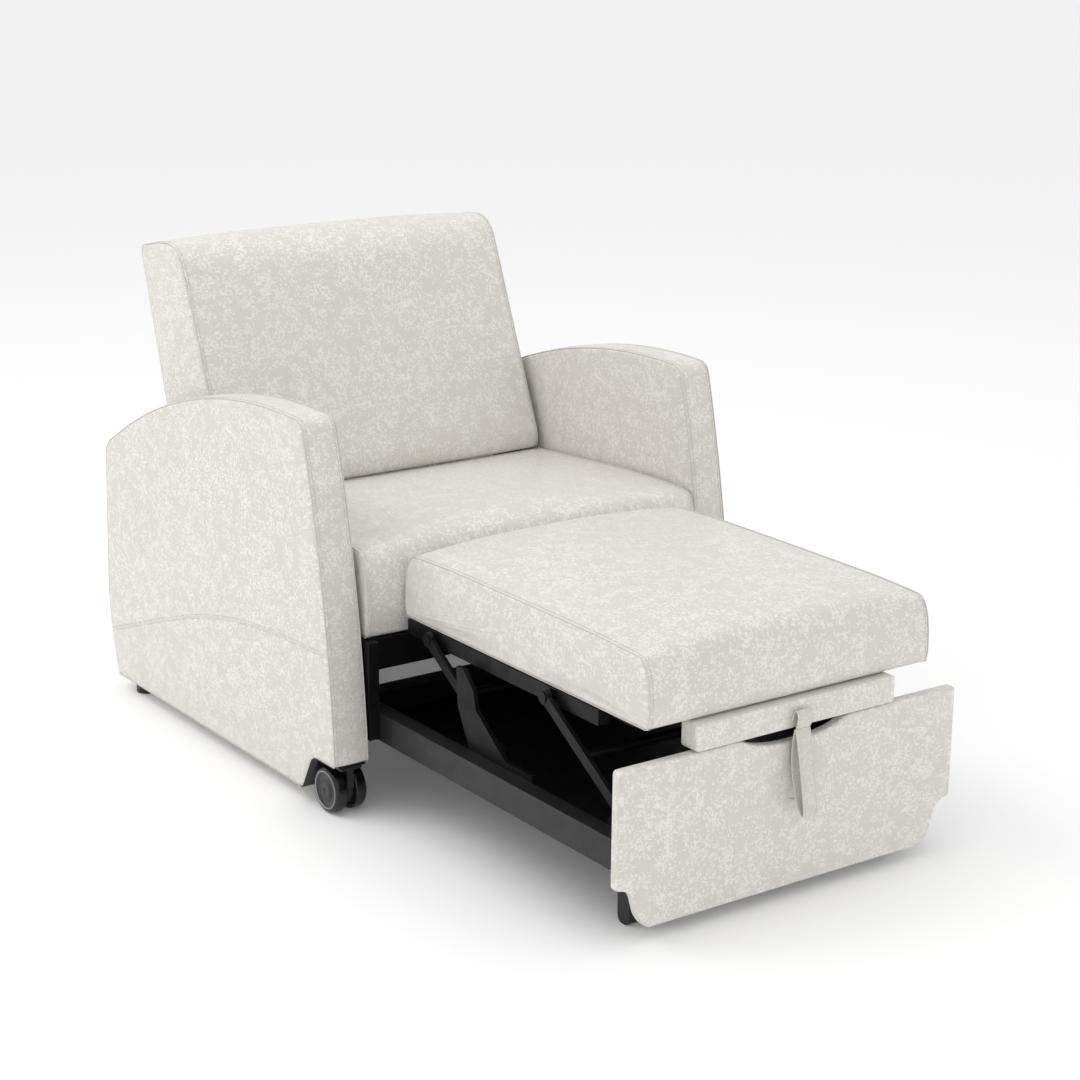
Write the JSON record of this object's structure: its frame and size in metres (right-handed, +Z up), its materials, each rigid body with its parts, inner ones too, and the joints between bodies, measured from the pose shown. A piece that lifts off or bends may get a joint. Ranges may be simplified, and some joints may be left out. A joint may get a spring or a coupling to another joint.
{
  "type": "patient recliner chair",
  "caption": "Upholstered care recliner on front casters, with a hinged back and a leg-rest cushion on a carriage that pulls out on side rails.",
  "frame": {"origin": "on the floor, under the middle of the chair's box as opened", "axes": "+Z up; the chair faces -Y, the leg rest pulls out along -Y; +X is the sitter's left"},
  "size_m": [0.86, 1.5442, 0.868],
  "materials": {
    "upholstery": "patterned vinyl-coated fabric",
    "strap": "vinyl webbing",
    "plywood": "raw plywood",
    "black_steel": "satin black powder coat",
    "black_panel": "black laminate",
    "charcoal_rail": "satin charcoal powder coat",
    "zinc": "zinc plated",
    "black_plastic": "moulded",
    "wheel_tyre": "gloss polyurethane",
    "wheel_hub": "moulded disc"
  },
  "bodies": {
    "base": {"arm_pad_left": "upholstery", "arm_pad_right": "upholstery", "arm_core_left": "plywood", "arm_core_right": "plywood", "base_side_left": "black_panel", "base_side_right": "black_panel", "base_front_rail": "black_steel", "base_rear_rail": "black_steel", "seat_deck": "black_panel", "seat_cushion": "upholstery", "rear_panel": "upholstery", "rear_glide_left": "black_plastic", "rear_glide_right": "black_plastic", "caster_plate_left": "black_steel", "caster_plate_right": "black_steel", "back_hinge_bracket_left": "black_steel", "back_hinge_bracket_right": "black_steel", "back_hinge_pins": "zinc", "frame_bolts": "zinc"},
    "back": {"back_bar_left": "black_steel", "back_bar_right": "black_steel", "back_cross_bars": "black_steel", "back_cushion": "upholstery"},
    "carriage": {"carriage_rail_left": "charcoal_rail", "carriage_rail_right": "charcoal_rail", "carriage_front_tube": "black_steel", "carriage_rear_tube": "black_steel", "carriage_pan": "black_panel", "front_panel": "upholstery", "front_foot_left": "black_plastic", "front_foot_right": "black_plastic", "rear_link_bracket_left": "black_steel", "rear_link_bracket_right": "black_steel", "front_link_bracket_left": "black_steel", "front_link_bracket_right": "black_steel", "lower_link_pins": "black_steel", "bracket_bolts": "black_steel"},
    "rear_link": {"rear_link_frame": "black_steel"},
    "front_link": {"front_link_frame": "black_steel"},
    "leg_rest": {"leg_rail_left": "black_steel", "leg_rail_right": "black_steel", "leg_board": "black_panel", "leg_cushion": "upholstery", "riser_block": "upholstery", "upper_link_pins": "black_steel", "strap_tab": "strap"},
    "strap": {"strap_loop": "strap"},
    "caster_left": {"caster_hood_left": "black_plastic", "caster_axle_left": "zinc"},
    "outer_wheel_left": {"outer_tyre_left": "wheel_tyre", "outer_hub_left": "wheel_hub"},
    "inner_wheel_left": {"inner_tyre_left": "wheel_tyre", "inner_hub_left": "wheel_hub"},
    "caster_right": {"caster_hood_right": "black_plastic", "caster_axle_right": "zinc"},
    "outer_wheel_right": {"outer_tyre_right": "wheel_tyre", "outer_hub_right": "wheel_hub"},
    "inner_wheel_right": {"inner_tyre_right": "wheel_tyre", "inner_hub_right": "wheel_hub"}
  },
  "joints": [
    {"name": "back_recline", "type": "hinge", "parent": "base", "child": "back", "pos_m": [0, 0.49, 0.4], "axis": [-1, 0, 0], "range_deg": [0, 40]},
    {"name": "footrest_slide", "type": "slide", "parent": "base", "child": "carriage", "axis": [0, -1, 0], "range_m": [0, 0.1]},
    {"name": "leg_rest_lift", "type": "hinge", "parent": "carriage", "child": "rear_link", "pos_m": [0, -0.355, 0.19], "axis": [1, 0, 0], "range_deg": [0, 30]},
    {"name": "front_link_turn", "type": "hinge", "parent": "carriage", "child": "front_link", "pos_m": [0, -0.682, 0.19], "axis": [1, 0, 0], "range_deg": [0, 30]},
    {"name": "leg_rest_level", "type": "hinge", "parent": "rear_link", "child": "leg_rest", "pos_m": [0, -0.15, 0.319], "axis": [1, 0, 0], "range_deg": [-30, 0]},
    {"name": "strap_swing", "type": "hinge", "parent": "leg_rest", "child": "strap", "pos_m": [0, -0.741, 0.289], "axis": [-1, 0, 0], "range_deg": [0, 45]},
    {"name": "caster_swivel_left", "type": "hinge", "parent": "base", "child": "caster_left", "pos_m": [-0.39, -0.044, 0.09], "axis": [0, 0, 1], "continuous": true},
    {"name": "outer_wheel_spin_left", "type": "hinge", "parent": "caster_left", "child": "outer_wheel_left", "pos_m": [-0.39, -0.022, 0.04], "axis": [1, 0, 0], "continuous": true},
    {"name": "inner_wheel_spin_left", "type": "hinge", "parent": "caster_left", "child": "inner_wheel_left", "pos_m": [-0.39, -0.022, 0.04], "axis": [1, 0, 0], "continuous": true},
    {"name": "caster_swivel_right", "type": "hinge", "parent": "base", "child": "caster_right", "pos_m": [0.39, -0.044, 0.09], "axis": [0, 0, 1], "continuous": true},
    {"name": "outer_wheel_spin_right", "type": "hinge", "parent": "caster_right", "child": "outer_wheel_right", "pos_m": [0.39, -0.022, 0.04], "axis": [1, 0, 0], "continuous": true},
    {"name": "inner_wheel_spin_right", "type": "hinge", "parent": "caster_right", "child": "inner_wheel_right", "pos_m": [0.39, -0.022, 0.04], "axis": [1, 0, 0], "continuous": true}
  ],
  "couplings": [
    {"joint": "front_link_turn", "follows": "leg_rest_lift", "ratio": 1},
    {"joint": "leg_rest_level", "follows": "leg_rest_lift", "ratio": -1}
  ]
}
